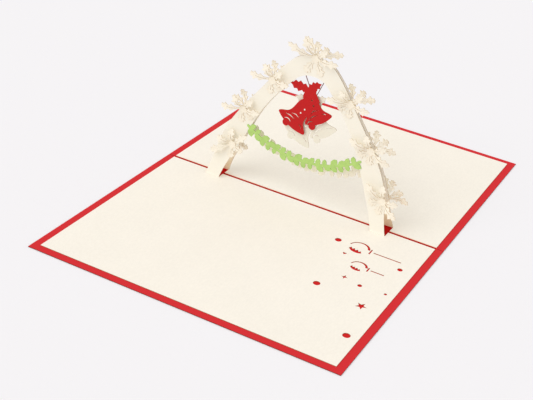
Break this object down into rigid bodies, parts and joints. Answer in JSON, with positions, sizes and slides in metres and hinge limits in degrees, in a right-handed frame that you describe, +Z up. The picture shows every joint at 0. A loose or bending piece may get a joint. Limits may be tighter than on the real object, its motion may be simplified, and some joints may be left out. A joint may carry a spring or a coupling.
{
  "type": "pop up card",
  "caption": "Folded paper greeting card lying open, with a laser-cut arch standing over its crease that carries leafy rosettes, hanging bells and garlands.",
  "frame": {"origin": "middle of the cover's crease, on the underside that rests on the table", "axes": "+X along the crease, to the right seen from the front half; +Y from the front half to the back half; +Z up, the way the arch stands"},
  "size_m": [0.2, 0.3, 0.1117],
  "materials": {
    "red_card": "matte",
    "cream_card": "matte",
    "green_card": "matte",
    "dark_thread": "matte"
  },
  "bodies": {
    "root": {"cover": "red_card", "front_liner": "cream_card", "back_liner": "cream_card", "red_bells": "red_card", "cream_bells": "cream_card", "red_thread": "dark_thread", "cream_thread": "dark_thread", "green_garland": "green_card", "cream_garland": "cream_card", "front_rosette_1": "cream_card", "front_rosette_2": "cream_card", "front_rosette_3": "cream_card", "front_rosette_4": "cream_card", "front_rosette_5": "cream_card", "front_rosette_6": "cream_card", "front_rosette_7": "cream_card", "back_rosette_1": "cream_card", "back_rosette_2": "cream_card", "back_rosette_3": "cream_card", "back_rosette_4": "cream_card", "back_rosette_5": "cream_card", "back_rosette_6": "cream_card", "back_rosette_7": "cream_card"}
  },
  "joints": []
}
